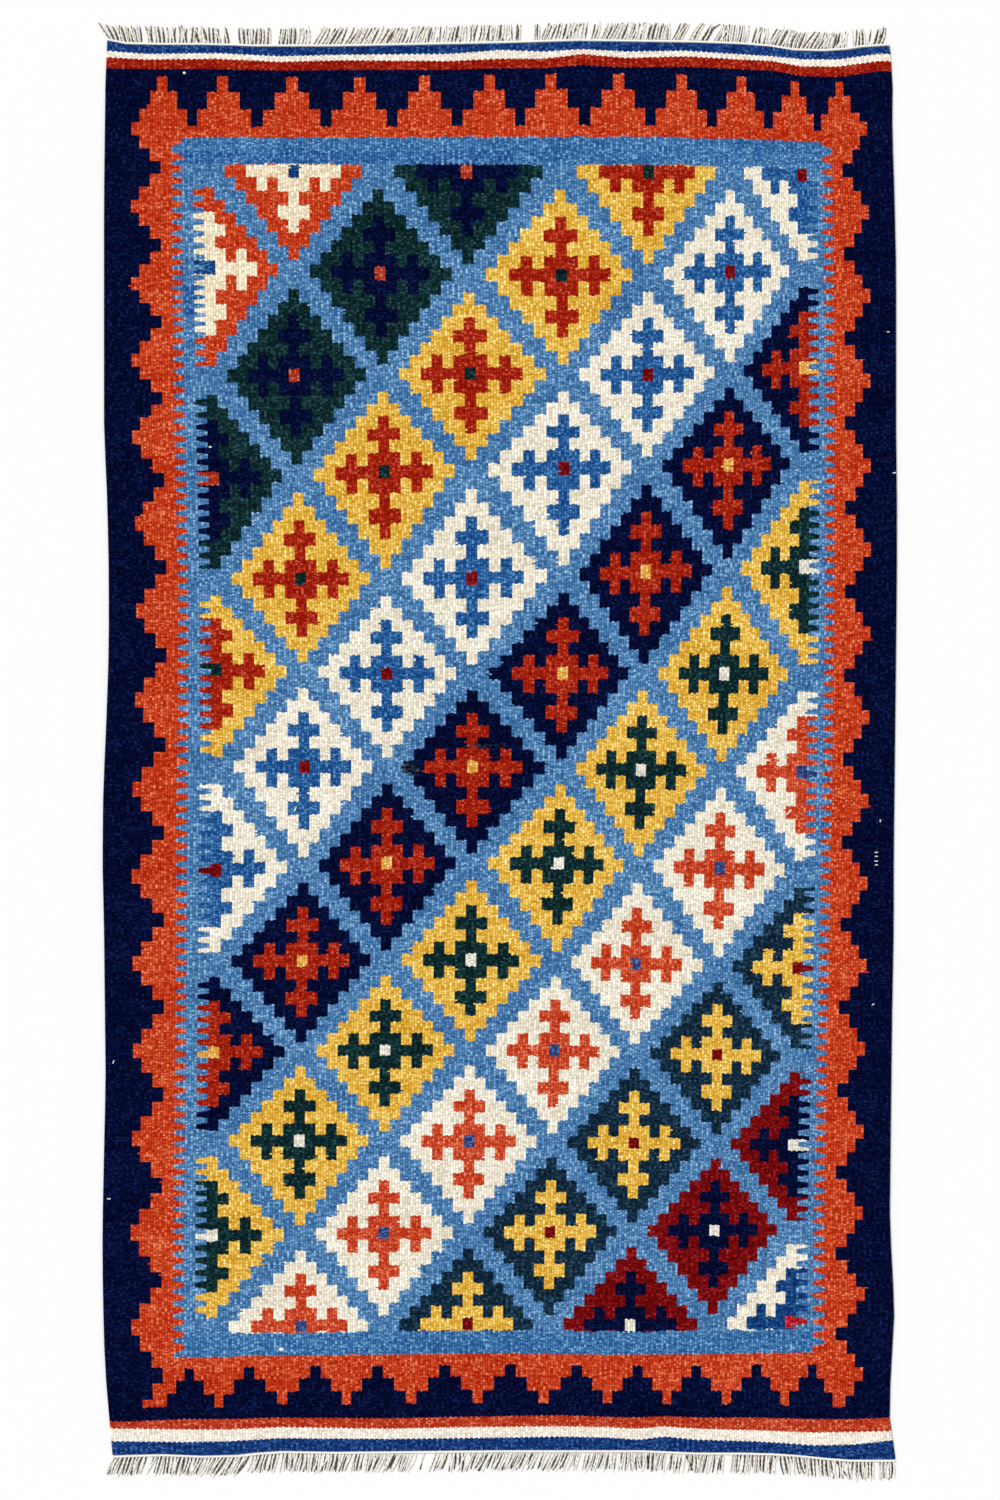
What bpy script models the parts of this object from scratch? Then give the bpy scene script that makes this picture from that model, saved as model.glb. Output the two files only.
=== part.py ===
"""A flatwoven wool kilim rug, lying flat on the floor.

Metres, +Z up. The floor is Z = 0, the length runs along Y and the width along X, and the rug is centred
on the origin. The cloth is one 3 mm sheet with slightly wavy selvedges and ends. At each end a twined
cord holds the last weft, and the warp ends stand out of it as a short fringe that lies on the floor.
"""

import random
from collections import namedtuple

import bmesh
import bpy
import numpy as np
from mathutils import Matrix

MM = 0.001

# The cloth
CLOTH_THICK = 3.0 * MM
HALF_WIDTH = 498.0 * MM
COLUMNS = 46  # straight stretches in which each wavy end is drawn

# The end cord, and the warp ends in it
CORD_GAP = 0.35 * MM  # between the cord and the last weft
CORD_WIDTH = 2.0 * MM
CORD_HEIGHT = 3.0 * MM
STRANDS_PER_COLUMN = 3
STRANDS = COLUMNS * STRANDS_PER_COLUMN
ROOT_SHARE = 0.42  # of a strand's pitch, taken up by the strand at its root
LEAN_PLAY = 0.08  # how far one strand leans away from its neighbours, as a slope
LENGTH_PLAY = 1.6 * MM

# How a strand thins from its root to its tip
Section = namedtuple("Section", "reach width height")
STRAND_SECTIONS = (
    Section(reach=0.45, width=2.7 * MM, height=2.4 * MM),
    Section(reach=1.00, width=1.7 * MM, height=1.6 * MM),
)

# The two selvedges, in millimetres: the place along the rug, and how far across each one lies there
Selvedge = namedtuple("Selvedge", "along left right")
SELVEDGES = (
    Selvedge(-898, -492, 502),
    Selvedge(-841, -497, 494),
    Selvedge(-782, -502, 497),
    Selvedge(-711, -504, 501),
    Selvedge(-654, -505, 498),
    Selvedge(-603, -505, 495),
    Selvedge(-508, -503, 496),
    Selvedge(-419, -501, 497),
    Selvedge(-330, -502, 498),
    Selvedge(-229, -503, 500),
    Selvedge(-140, -505, 500),
    Selvedge(-51, -504, 501),
    Selvedge(38, -500, 502),
    Selvedge(127, -497, 503),
    Selvedge(229, -497, 504),
    Selvedge(318, -499, 504),
    Selvedge(406, -503, 503),
    Selvedge(610, -503, 503),
    Selvedge(699, -503, 501),
    Selvedge(787, -502, 498),
    Selvedge(869, -501, 499),
    Selvedge(897, -499, 494),
)

# The two ends of the cloth, in millimetres: the place across the rug, and how far along each end lies
ClothEnd = namedtuple("ClothEnd", "across top bottom")
CLOTH_ENDS = (
    ClothEnd(-499, 901, -896),
    ClothEnd(-475, 896, -895),
    ClothEnd(-432, 895, -894),
    ClothEnd(-381, 895, -896),
    ClothEnd(-337, 894, -895),
    ClothEnd(-310, 893, -892),
    ClothEnd(-279, 893, -890),
    ClothEnd(-210, 893, -891),
    ClothEnd(-102, 895, -890),
    ClothEnd(0, 897, -889),
    ClothEnd(102, 900, -889),
    ClothEnd(178, 899, -889),
    ClothEnd(248, 898, -892),
    ClothEnd(306, 896, -892),
    ClothEnd(345, 893, -893),
    ClothEnd(375, 888, -895),
    ClothEnd(414, 887, -899),
    ClothEnd(443, 889, -901),
    ClothEnd(462, 892, -901),
    ClothEnd(493, 894, -901),
)

# The fringe from left to right: the share of the width, and the slope of the strands at each end
Lean = namedtuple("Lean", "share top bottom")
LEANS = (
    Lean(0.00, -0.80, -0.55),
    Lean(0.03, -0.25, -0.45),
    Lean(0.09, -0.05, -0.40),
    Lean(0.16, -0.20, -0.42),
    Lean(0.20, 0.05, -0.35),
    Lean(0.30, 0.40, -0.30),
    Lean(0.45, 0.30, -0.30),
    Lean(0.60, 0.25, -0.20),
    Lean(0.75, 0.35, -0.05),
    Lean(0.90, 0.42, 0.05),
    Lean(1.00, 0.20, 0.15),
)

# Each fringe: which end it is at, the way it points along Y, its length, and its random seed
Fringe = namedtuple("Fringe", "name end way length seed")
FRINGES = (
    Fringe("fringe_top", "top", 1, 24.0 * MM, 11),
    Fringe("fringe_bottom", "bottom", -1, 22.0 * MM, 23),
)

# Each material's colour (linear) and roughness
Finish = namedtuple("Finish", "name colour roughness")
WOOL = Finish("weft wool", (0.11, 0.26, 0.55, 1.0), 0.9)
WARP_YARN = Finish("undyed warp yarn", (0.78, 0.73, 0.63, 1.0), 0.85)


def read(table, column, against, at):
    """The value of one column of a table, in metres, where another column reaches a place in metres."""
    places = [getattr(row, against) * MM for row in table]
    values = [getattr(row, column) * MM for row in table]
    return float(np.interp(at, places, values))


def end_point(end, share):
    """The edge of the cloth at one end, at a share of the width from left to right, as X and Y."""
    across = (2 * share - 1) * HALF_WIDTH
    along = read(CLOTH_ENDS, end, "across", across)
    left = read(SELVEDGES, "left", "along", along)
    right = read(SELVEDGES, "right", "along", along)
    return left + (right - left) * share, along


def end_line(end):
    """The knots of one wavy end, from left to right."""
    return [end_point(end, column / COLUMNS) for column in range(COLUMNS + 1)]


def clear_scene():
    for item in list(bpy.data.objects):
        bpy.data.objects.remove(item, do_unlink=True)


def material(finish):
    made = bpy.data.materials.new(finish.name)
    made.use_nodes = True
    shader = made.node_tree.nodes["Principled BSDF"]
    shader.inputs["Base Color"].default_value = finish.colour
    shader.inputs["Roughness"].default_value = finish.roughness
    shader.inputs["Metallic"].default_value = 0.0
    return made


def add_object(name, mesh_builder, finish):
    """A finished bmesh as a named object with its material."""
    bmesh.ops.recalc_face_normals(mesh_builder, faces=mesh_builder.faces)
    mesh = bpy.data.meshes.new(name)
    mesh_builder.to_mesh(mesh)
    mesh_builder.free()
    made = bpy.data.objects.new(name, mesh)
    bpy.context.scene.collection.objects.link(made)
    made.data.materials.append(material(finish))
    return made


def flatweave():
    """The woven sheet: long faces from end to end, with the selvedges' own points in the outer two."""
    sheet = bmesh.new()
    top = [sheet.verts.new((x, y, 0.0)) for x, y in end_line("top")]
    bottom = [sheet.verts.new((x, y, 0.0)) for x, y in end_line("bottom")]
    # The first and last row of the table lie at the corners, which the ends already give.
    inner_rows = SELVEDGES[1:-1]
    left = [sheet.verts.new((row.left * MM, row.along * MM, 0.0)) for row in inner_rows]
    right = [sheet.verts.new((row.right * MM, row.along * MM, 0.0)) for row in inner_rows]
    sheet.faces.new([bottom[0], bottom[1], top[1], top[0]] + left[::-1])
    for here in range(1, COLUMNS - 1):
        sheet.faces.new((bottom[here], bottom[here + 1], top[here + 1], top[here]))
    sheet.faces.new([bottom[-2], bottom[-1]] + right + [top[-1], top[-2]])
    raised = bmesh.ops.extrude_face_region(sheet, geom=sheet.faces[:])
    lifted = [item for item in raised["geom"] if isinstance(item, bmesh.types.BMVert)]
    bmesh.ops.translate(sheet, verts=lifted, vec=(0.0, 0.0, CLOTH_THICK))
    return add_object("flatweave", sheet, WOOL)


def strand_edges(knots, column):
    """X and Y of the start and end of each strand's root in one column of the end line."""
    (x0, y0), (x1, y1) = knots[column], knots[column + 1]
    found = []
    for strand in range(STRANDS_PER_COLUMN):
        for side in (-1, 1):
            share = (strand + 0.5 + side * ROOT_SHARE / 2) / STRANDS_PER_COLUMN
            found.append((x0 + (x1 - x0) * share, y0 + (y1 - y0) * share))
    return found


def end_cord(yarn, kind):
    """The cord along one end. Its outer wall has one face for each strand, and those are returned."""
    knots = end_line(kind.end)
    inner_y = kind.way * CORD_GAP
    outer_y = kind.way * (CORD_GAP + CORD_WIDTH)

    def pair(x, y, out):
        """The lower and upper point of the cord's wall at one place."""
        return [yarn.verts.new((x, y + out, height)) for height in (0.0, CORD_HEIGHT)]

    inner = [pair(x, y, inner_y) for x, y in knots]
    outer_knots = [pair(x, y, outer_y) for x, y in knots]
    roots = []
    for column in range(COLUMNS):
        stops = [pair(x, y, outer_y) for x, y in strand_edges(knots, column)]
        outer = [outer_knots[column], *stops, outer_knots[column + 1]]
        near, far = inner[column], inner[column + 1]
        for level in (0, 1):
            yarn.faces.new([near[level], *[stop[level] for stop in outer], far[level]])
        yarn.faces.new((near[0], far[0], far[1], near[1]))
        for index, (this, after) in enumerate(zip(outer, outer[1:])):
            wall = yarn.faces.new((this[0], after[0], after[1], this[1]))
            if index % 2:
                roots.append(wall)
    for near, far in ((inner[0], outer_knots[0]), (inner[-1], outer_knots[-1])):
        yarn.faces.new((near[0], far[0], far[1], near[1]))
    return roots


def grow_strand(yarn, root, way, lean, length):
    """Draws one strand out of its root face, thinning to its tip, with its underside on the floor."""
    start = root.calc_center_median()
    face = root
    for section in STRAND_SECTIONS:
        face = bmesh.ops.extrude_discrete_faces(yarn, faces=[face])["faces"][0]
        centre_x = start.x + lean * length * section.reach
        centre_y = start.y + way * length * section.reach
        corners = (
            (-section.width / 2, 0.0),
            (section.width / 2, 0.0),
            (section.width / 2, section.height),
            (-section.width / 2, section.height),
        )
        for vert, (aside, height) in zip(face.verts, corners):
            vert.co = (centre_x + aside, centre_y, height)


def fringe(kind):
    """One end's cord with its fringe, in one piece."""
    play = random.Random(kind.seed)
    yarn = bmesh.new()
    shares = [row.share for row in LEANS]
    slopes = [getattr(row, kind.end) for row in LEANS]
    for index, root in enumerate(end_cord(yarn, kind)):
        lean = float(np.interp((index + 0.5) / STRANDS, shares, slopes))
        lean += play.uniform(-LEAN_PLAY, LEAN_PLAY)
        length = kind.length - play.uniform(0.0, LENGTH_PLAY)
        grow_strand(yarn, root, kind.way, lean, length)
    return add_object(kind.name, yarn, WARP_YARN)


def centre(pieces):
    """Moves the rug so that the middle of all it covers lies on the origin."""
    points = np.array([vert.co[:2] for piece in pieces for vert in piece.data.vertices])
    middle = (points.min(axis=0) + points.max(axis=0)) / 2
    for piece in pieces:
        piece.data.transform(Matrix.Translation((-middle[0], -middle[1], 0.0)))


clear_scene()
centre([flatweave(), *[fringe(kind) for kind in FRINGES]])
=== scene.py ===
"""A flatwoven wool kilim rug, lying flat on a pale floor and seen from straight above.

Metres, +Z up; the rug's length runs along Y, its width along X, and its underside rests on Z = 0.
The cloth is woven from a chart: each warp rib and each row of lozenges has its number, which the
wool's pattern reads from the cloth. The ends carry a twined cord and a fringe of two-ply warp ends.
"""

import math
import random
from collections import namedtuple
from functools import partial, reduce

import bpy
import numpy as np
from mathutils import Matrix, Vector


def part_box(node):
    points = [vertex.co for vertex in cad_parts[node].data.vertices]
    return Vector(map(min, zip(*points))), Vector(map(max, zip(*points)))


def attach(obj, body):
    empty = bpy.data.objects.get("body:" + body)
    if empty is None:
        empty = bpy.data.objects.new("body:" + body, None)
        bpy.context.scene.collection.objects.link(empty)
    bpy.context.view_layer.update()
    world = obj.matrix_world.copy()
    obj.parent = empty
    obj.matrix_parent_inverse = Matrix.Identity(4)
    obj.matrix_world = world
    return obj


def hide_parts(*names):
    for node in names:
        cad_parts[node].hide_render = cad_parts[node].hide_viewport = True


MM = 0.001


def table(kind, *rows):
    """A table whose rows all have the fields of one kind."""
    return tuple(kind(*row) for row in rows)


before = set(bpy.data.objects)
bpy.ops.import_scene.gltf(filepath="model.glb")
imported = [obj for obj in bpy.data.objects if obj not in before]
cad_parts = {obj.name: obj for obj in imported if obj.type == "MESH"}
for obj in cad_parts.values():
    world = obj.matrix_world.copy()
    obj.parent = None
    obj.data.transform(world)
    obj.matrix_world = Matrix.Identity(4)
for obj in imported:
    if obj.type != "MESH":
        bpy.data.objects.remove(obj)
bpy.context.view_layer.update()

# ---------------------------------------------------------------- measures of the cloth

CLOTH_THICK = 3.0 * MM
HALF_WIDTH = 498.0 * MM

# The two selvedges, in millimetres: the place along the rug, and how far across each one lies there
Selvedge = namedtuple("Selvedge", "along left right")
SELVEDGES = table(
    Selvedge,
    (-898, -492, 502), (-841, -497, 494), (-782, -502, 497), (-711, -504, 501),
    (-654, -505, 498), (-603, -505, 495), (-508, -503, 496), (-419, -501, 497),
    (-330, -502, 498), (-229, -503, 500), (-140, -505, 500), (-51, -504, 501), (38, -500, 502),
    (127, -497, 503), (229, -497, 504), (318, -499, 504), (406, -503, 503), (610, -503, 503),
    (699, -503, 501), (787, -502, 498), (869, -501, 499), (897, -499, 494),
)

# The two ends of the cloth, in millimetres: the place across the rug, and how far along each end lies
ClothEnd = namedtuple("ClothEnd", "across top bottom")
CLOTH_ENDS = table(
    ClothEnd,
    (-499, 901, -896), (-475, 896, -895), (-432, 895, -894), (-381, 895, -896),
    (-337, 894, -895), (-310, 893, -892), (-279, 893, -890), (-210, 893, -891),
    (-102, 895, -890), (0, 897, -889), (102, 900, -889), (178, 899, -889), (248, 898, -892),
    (306, 896, -892), (345, 893, -893), (375, 888, -895), (414, 887, -899), (443, 889, -901),
    (462, 892, -901), (493, 894, -901),
)

# ---------------------------------------------------------------- the weaver's chart

# One block of the chart is four warp ribs wide and one tapestry step high. Lozenges stand eight blocks
# apart. The warp is counted from the leftmost column of lozenges, the weft down from the top row.
RIBS_PER_BLOCK = 4
BLOCKS_APART = 8
WARP_LEFT, WARP_RIGHT = -9.75, 65.0
WEFT_TOP, WEFT_BOTTOM = -10.36, 106.6
COLUMNS_OF_LOZENGES = 8
ROWS_OF_LOZENGES = 13
WARP_MIDDLE = BLOCKS_APART * (COLUMNS_OF_LOZENGES - 1) / 2
WEFT_MIDDLE = BLOCKS_APART * (ROWS_OF_LOZENGES - 1) / 2

# Where the eight columns of lozenges run, in millimetres across, at seven places along the rug
LozengeColumns = namedtuple("LozengeColumns", "along c0 c1 c2 c3 c4 c5 c6 c7")
LOZENGE_COLUMNS = table(
    LozengeColumns,
    (-729, -366, -252, -148, -41, 61, 165, 270, 368),
    (-498, -365, -255, -147, -39, 66, 170, 275, 372),
    (-271, -362, -251, -145, -37, 72, 172, 277, 378),
    (-23, -359, -248, -143, -35, 78, 179, 281, 383),
    (222, -361, -253, -145, -36, 82, 185, 289, 386),
    (478, -366, -262, -149, -38, 81, 188, 292, 386),
    (735, -370, -262, -156, -43, 76, 189, 293, 383),
)

# How far along the rug the four lozenges of each row stand, in millimetres. The even rows stand in
# every second column from the second, the odd rows in every second from the first.
LozengeRow = namedtuple("LozengeRow", "row first second third fourth")
LOZENGE_ROWS = table(
    LozengeRow,
    (0, 735, 735, 734, 730),
    (1, 614, 605, 602, 607),
    (2, 475, 478, 475, 485),
    (3, 345, 354, 359, 363),
    (4, 216, 216, 226, 233),
    (5, 102, 97, 97, 96),
    (6, -21, -21, -25, -28),
    (7, -153, -144, -144, -150),
    (8, -268, -267, -272, -278),
    (9, -384, -381, -381, -387),
    (10, -496, -497, -499, -502),
    (11, -617, -614, -612, -609),
    (12, -731, -728, -730, -726),
)

# The madder border's teeth: how far along each side tooth stands, and its number
Tooth = namedtuple("Tooth", "along number")
SAW_LEFT = table(
    Tooth,
    (-856, 15), (-733, 14), (-493, 12), (-271, 10), (-50, 8), (177, 6), (398, 4), (592, 2),
    (789, 0), (829, -0.41),
)
SAW_RIGHT = table(
    Tooth,
    (-846, 15.5), (-792, 15), (-691, 14), (-485, 12), (-274, 10), (-65, 8), (148, 6), (361, 4),
    (577, 2), (789, 0), (832, -0.41),
)

# The dovetail combs in which madder and blue meet at the field's two sides, counted the same way. The
# tables go on past the outermost teeth, so that those keep their pitch, and the wool stops the count.
FIRST_COMB_TOOTH, LAST_COMB_TOOTH = -1.0, 103.0
COMB_LEFT = table(
    Tooth,
    (-790, 104), (-758, 102), (-617, 93), (-509, 85), (-371, 76), (-169, 62), (-75, 56),
    (76, 46), (309, 31), (394, 25), (536, 16), (603, 10), (753, 0), (783, -2),
)
COMB_RIGHT = table(
    Tooth,
    (-758, 102), (-644, 95), (-537, 88), (-392, 78), (-263, 69), (-102, 58), (70, 46),
    (183, 38), (315, 29), (382, 24), (450, 20), (597, 10), (749, 0), (780, -2),
)

# The stepped merlons at the two ends: how far across each peak stands, and its number
Merlon = namedtuple("Merlon", "across number")
MERLONS_TOP = table(
    Merlon,
    (-461, -0.41), (-429, 0), (-353, 1), (-264, 2), (-178, 3), (-96, 4), (-13, 5), (64, 6),
    (151, 7), (231, 8), (307, 9), (375, 10), (431, 11), (454, 11.41),
)
MERLONS_BOTTOM = table(
    Merlon,
    (-428, -0.5), (-395, 0), (-319, 1), (-234, 2), (-156, 3), (-70, 4), (13, 5), (98, 6),
    (175, 7), (249, 8), (326, 9), (397, 10), (427, 10.5),
)

# The three bands at each end: how far along each dye begins, at places across the rug, in millimetres
Bands = namedtuple("Bands", "across madder cream blue")
BANDS_TOP = table(
    Bands,
    (-500, 866, 880, 888), (-450, 865, 877, 884), (-360, 865, 878, 885), (-280, 863, 874, 881),
    (-200, 864, 876, 883), (-65, 864, 875, 884), (0, 866, 878, 889), (55, 866, 878, 887),
    (105, 870, 884, 890), (160, 867, 879, 887), (235, 868, 881, 888), (345, 863, 875, 881),
    (385, 856, 868, 877), (430, 855, 868, 877), (480, 862, 875, 884),
)
BANDS_BOTTOM = table(
    Bands,
    (-475, -853, -862, -878), (-400, -850, -863, -879), (-345, -850, -863, -878),
    (-280, -848, -860, -874), (-140, -849, -862, -875), (-50, -847, -860, -874),
    (75, -845, -859, -872), (135, -847, -860, -873), (175, -848, -862, -876),
    (210, -846, -859, -872), (250, -848, -862, -876), (325, -848, -864, -878),
    (400, -850, -867, -883), (450, -850, -866, -882), (495, -848, -865, -877),
)

# A lozenge is seven steps from its middle to its tip. Its middle step is lower than the others, and it
# reaches a little further down than up.
STEPS_TO_TIP = 7
MIDDLE_STEP = 0.52
REACH_UP, REACH_DOWN = 6.6, 7.2
STEP_UP = (REACH_UP - MIDDLE_STEP) / (STEPS_TO_TIP - 1)
STEP_DOWN = (REACH_DOWN - MIDDLE_STEP) / (STEPS_TO_TIP - 1)
# The cross in it has four stems, each this long, with hooks at two of their blocks
STEM_REACH = 4
HOOKS = (1.0, 3.0)
# How far the lozenges go on past the middles of the outermost columns, at a blue and at a madder tooth
# of the comb, and past the middles of the outermost rows
PAST_COLUMN_BLUE, PAST_COLUMN_MADDER, PAST_ROW = 0.5, 1.5, 0.59
# Up to here past the outermost columns, the chart is read as it is. Further out it is read from here.
CHART_READ = 0.4

# The edges of the blue field. Each side has its number at a madder tooth, and that at a blue one.
FIELD_LEFT, FIELD_RIGHT = (-2.5, -3.4), (58.1, 59.0)
FIELD_TOP, FIELD_BOTTOM = -2.78, 98.52

# The edges of the madder border. A side tooth goes back from its tip in three steps.
SAW_STEPS = 3
Saw = namedtuple("Saw", "name tip step side")
SAWS = (
    Saw("saw_left", -7.3, 0.90, "GREATER_THAN"),
    Saw("saw_right", 62.57, -0.82, "LESS_THAN"),
)
# A merlon is a tall block, two shoulders and a foot: how far from its middle each ends, as a share of
# half the distance between two merlons, and how far the edge falls there
MerlonSteps = namedtuple("MerlonSteps", "name peak shares falls side")
MERLON_STEPS = (
    MerlonSteps("merlon_top", -7.80, (0.17, 0.50, 0.83), (1.25, 1.45, 1.40), "GREATER_THAN"),
    MerlonSteps("merlon_bottom", 99.45, (0.17, 0.50, 0.85), (1.00, 1.10, 1.10), "LESS_THAN"),
)

# A comb's teeth are slanted: over which shares of half their pitch an edge goes from madder to blue
LOZENGE_SLANT, FIELD_SLANT = (0.38, 0.62), (0.30, 0.72)

# How unevenly it was woven: how far a tapestry step lies off, how often a pick turns a rib early or
# late, which is the excess over 1, and over how many ribs each of them stays the same
STEP_PLAY, TURN_PLAY = 0.09, 1.025
RIBS_OF_A_STEP, RIBS_OF_A_TURN = 3.0, 9.0

# Where the weaver took a darker bath of the same blue, in the chart's numbers: the middle and the size
Patch = namedtuple("Patch", "warp weft wide high")
PATCHES = (
    Patch(12.0, -1.15, 32.0, 1.0),
    Patch(-1.9, 10.5, 1.2, 2.3),
)

# Slubs, mending stitches and darned places, in millimetres: the middle, the size and the turn
Mend = namedtuple("Mend", "across along long wide turn")
PALE_MENDS = table(
    Mend,
    (493, 531, 4, 1.5, 0), (501, 352, 5, 1.5, 10), (478, -130, 5, 1.5, 0),
    (478, -135, 4, 1.3, 0), (478, -141, 5, 1.3, 0), (478, -146, 4, 1.3, 0),
    (483, -90, 4, 1.6, 90), (474, -323, 4, 1.6, 30), (367, -79, 10, 1.8, 45),
    (-497, -570, 5, 1.4, 0), (-491, -396, 5, 1.4, 70), (-368, 385, 4, 2.0, 0),
    (-401, 860, 3.6, 3.2, 0), (-260, -75, 7, 1.6, 60), (-278, -761, 5, 4.4, 0),
)
DARK_MENDS = table(
    Mend,
    (-19, 5, 56, 6, 0),
    (-114, -24, 24, 17, 0),
    (-222, -547, 3, 2, 0),
)

# ---------------------------------------------------------------- yarns

RIB_WIDTH = 3.34 * MM
RIB_DEPTH = 0.6 * MM  # from the crest of a warp rib to the valley beside it
EDGE_ROUND = 1.7 * MM  # how far in from an edge the cloth reaches its full thickness
# Weft picks in one tapestry step. The real picks are about 1.3 mm high, 12 to a step; they are drawn
# coarser, at 1.9 mm, so that they show in the picture.
BEADS_PER_STEP = 8
BEAD_HEIGHT = 1.9  # in millimetres
RELAXED_LIFT = 0.9 * MM  # how far the cloth rises off the floor in its broad slack waves
SLACK_REACH, SLACK_FADE = 860.0 * MM, 120.0 * MM  # how far the waves reach, and how slowly they fade
EDGE_THIN = 0.28  # the least share of its thickness that the cloth keeps at an edge

CORD_GAP = 0.35 * MM
CORD_WIDTH = 3.2 * MM
CORD_MIDDLE = 1.78 * MM  # height of the twined cord's centre line
CORD_PLY_RADIUS = 1.08 * MM
CORD_PLY_OFFSET = 0.66 * MM
CORD_PITCH = 5.3 * MM
CORD_POINTS_PER_TURN = 7

COLUMNS = 46
# Two or three warps lie together in each pale end, so there are fewer ends than ribs. Between each two
# lies a thinner brown one, lower down. Its dark colour is partly the yarn's own and partly painted
# shade, standing for the shadow between the pale ends.
PALE_ENDS = 204
LEAN_PLAY = 0.08
LENGTH_PLAY = 1.6 * MM
PLY_PITCH = 12.0 * MM
YARN_POINTS = 9
TUFT_WIDTHS = (0.018, 0.055)  # the least and the most of the rug's width that one tuft takes
GATHER = 0.04  # how far the tips of a tuft draw together
# How far things lean, as slopes: the ends of one tuft from those beside it, one end from the next, and
# the few ends that lie quite another way, with their share of all
TUFT_PLAY = 0.26
END_PLAY = 0.12
STRAY_LEAN = 0.8
STRAYS = 0.04
BOW_PLAY = 1.6 * MM
LIFT_PLAY = 0.4 * MM
Yarn = namedtuple("Yarn", "name radius offset height lengths")
PALE_YARN = Yarn("warp_fringe", 0.90 * MM, 0.58 * MM, 1.25 * MM, (0.88, 1.06))
BROWN_YARN = Yarn("brown_ends", 0.72 * MM, 0.44 * MM, 0.75 * MM, (0.84, 1.00))

Lean = namedtuple("Lean", "share top bottom")
LEANS = table(
    Lean,
    (0.00, -1.02, -0.62), (0.03, -0.25, -0.45), (0.09, -0.05, -0.40), (0.16, -0.20, -0.42),
    (0.20, 0.05, -0.35), (0.30, 0.40, -0.30), (0.45, 0.30, -0.30), (0.60, 0.25, -0.20),
    (0.75, 0.35, -0.05), (0.90, 0.42, 0.05), (1.00, 0.20, 0.15),
)
# Where ends are missing, in millimetres: the middle and the width of each bare place
Bare = namedtuple("Bare", "end across wide")
BARE_PLACES = table(
    Bare,
    ("top", -450, 7), ("top", -386, 5), ("top", -336, 11), ("top", -288, 8), ("top", 33, 15),
    ("top", 110, 5), ("top", 235, 6), ("top", 266, 8), ("top", 316, 5), ("top", 445, 7),
    ("top", 492, 10), ("bottom", -444, 7), ("bottom", -101, 8), ("bottom", -88, 6),
    ("bottom", 289, 9), ("bottom", 479, 6),
)
Fringe = namedtuple("Fringe", "node end way length seed brown")
# The brown ends' colour at each end: the same yarn at both, made darker at the bottom as painted shade
FRINGES = (
    Fringe("fringe_top", "top", 1, 22.4 * MM, 11, "#4b4136"),
    Fringe("fringe_bottom", "bottom", -1, 24.2 * MM, 23, "#1d1815"),
)

# ---------------------------------------------------------------- dyes, as sRGB

SKY = "#5182b3"
SKY_DEEP = "#4076ac"
SKY_DARK = "#3568a4"
NAVY = "#020930"
MADDER = "#c9411f"
MADDER_BRIGHT = "#cd4a2a"
MADDER_DULL = "#a11f0c"
MADDER_FADED = "#b43d25"
MADDER_PALE = "#c14125"
ROYAL = "#285d9a"
ROYAL_DEEP = "#16437f"
CREAM = "#f4ecd9"
CREAM_WARM = "#f8e9cb"
CREAM_BAND = "#fcf2e4"
WHITE = "#ece8da"
BRICK = "#a6230f"
CRIMSON = "#76080b"
YELLOW = "#eabb4c"
GOLD = "#eab154"
GREEN = "#0e2b2e"
TEAL = "#122b3e"
BORDER_BLUE = "#173b7a"
ROSE = "#b3202b"
INDIGO_WORN = "#33487f"
KNOT_PALE = "#f6f3ea"
CHARCOAL = "#26292e"

# The ten colourways, in the order of the diagonal rows: ground, cross and heart of the lozenge
Colourway = namedtuple("Colourway", "ground cross heart")
COLOURWAYS = table(
    Colourway,
    (MADDER, CREAM_WARM, ROYAL_DEEP),
    (GREEN, NAVY, MADDER_FADED),
    (YELLOW, BRICK, GREEN),
    (CREAM, ROYAL, CRIMSON),
    (NAVY, BRICK, GOLD),
    (YELLOW, GREEN, WHITE),
    (CREAM, MADDER_BRIGHT, INDIGO_WORN),
    (TEAL, YELLOW, CRIMSON),
    (CRIMSON, NAVY, WHITE),
    (CREAM, ROYAL_DEEP, ROSE),
)


# ---------------------------------------------------------------- small helpers


def linear(colour):
    """A colour given as sRGB hex, as the linear RGBA that a socket takes."""
    channels = [int(colour[place : place + 2], 16) / 255 for place in (1, 3, 5)]
    return (*[c / 12.92 if c <= 0.04045 else ((c + 0.055) / 1.055) ** 2.4 for c in channels], 1.0)


def read(table, column, against, at):
    """A column of a table where another column reaches the places at, all in millimetres."""
    places = [getattr(row, against) for row in table]
    values = [getattr(row, column) for row in table]
    return np.interp(at, places, values)


def straight_on(at, places, values):
    """Values between some places, and straight on past the two ends."""
    found = np.interp(at, places, values)
    for end, inner, past in ((0, 1, at < places[0]), (-1, -2, at > places[-1])):
        slope = (values[end] - values[inner]) / (places[end] - places[inner])
        found = np.where(past, values[end] + (at - places[end]) * slope, found)
    return found


def end_point(end, share):
    """The edge of the cloth at one end, at a share of the width from left to right, in metres."""
    across = (2 * share - 1) * HALF_WIDTH
    along = read(CLOTH_ENDS, end, "across", across / MM)
    left = read(SELVEDGES, "left", "along", along)
    right = read(SELVEDGES, "right", "along", along)
    return (left + (right - left) * share) * MM, along * MM


def rug_middle():
    """The middle of the cloth's outline as the tables give it, in metres."""
    shares = [column / COLUMNS for column in range(COLUMNS + 1)]
    knots = [end_point(end, share) for end in ("top", "bottom") for share in shares]
    across = [x for x, y in knots]
    across += [side * MM for row in SELVEDGES[1:-1] for side in (row.left, row.right)]
    along = [y for x, y in knots]
    return Vector(((min(across) + max(across)) / 2, (min(along) + max(along)) / 2, 0.0))


def only(piece):
    """Makes one object the selected and the active one."""
    bpy.ops.object.select_all(action="DESELECT")
    piece.select_set(True)
    bpy.context.view_layer.objects.active = piece


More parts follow.
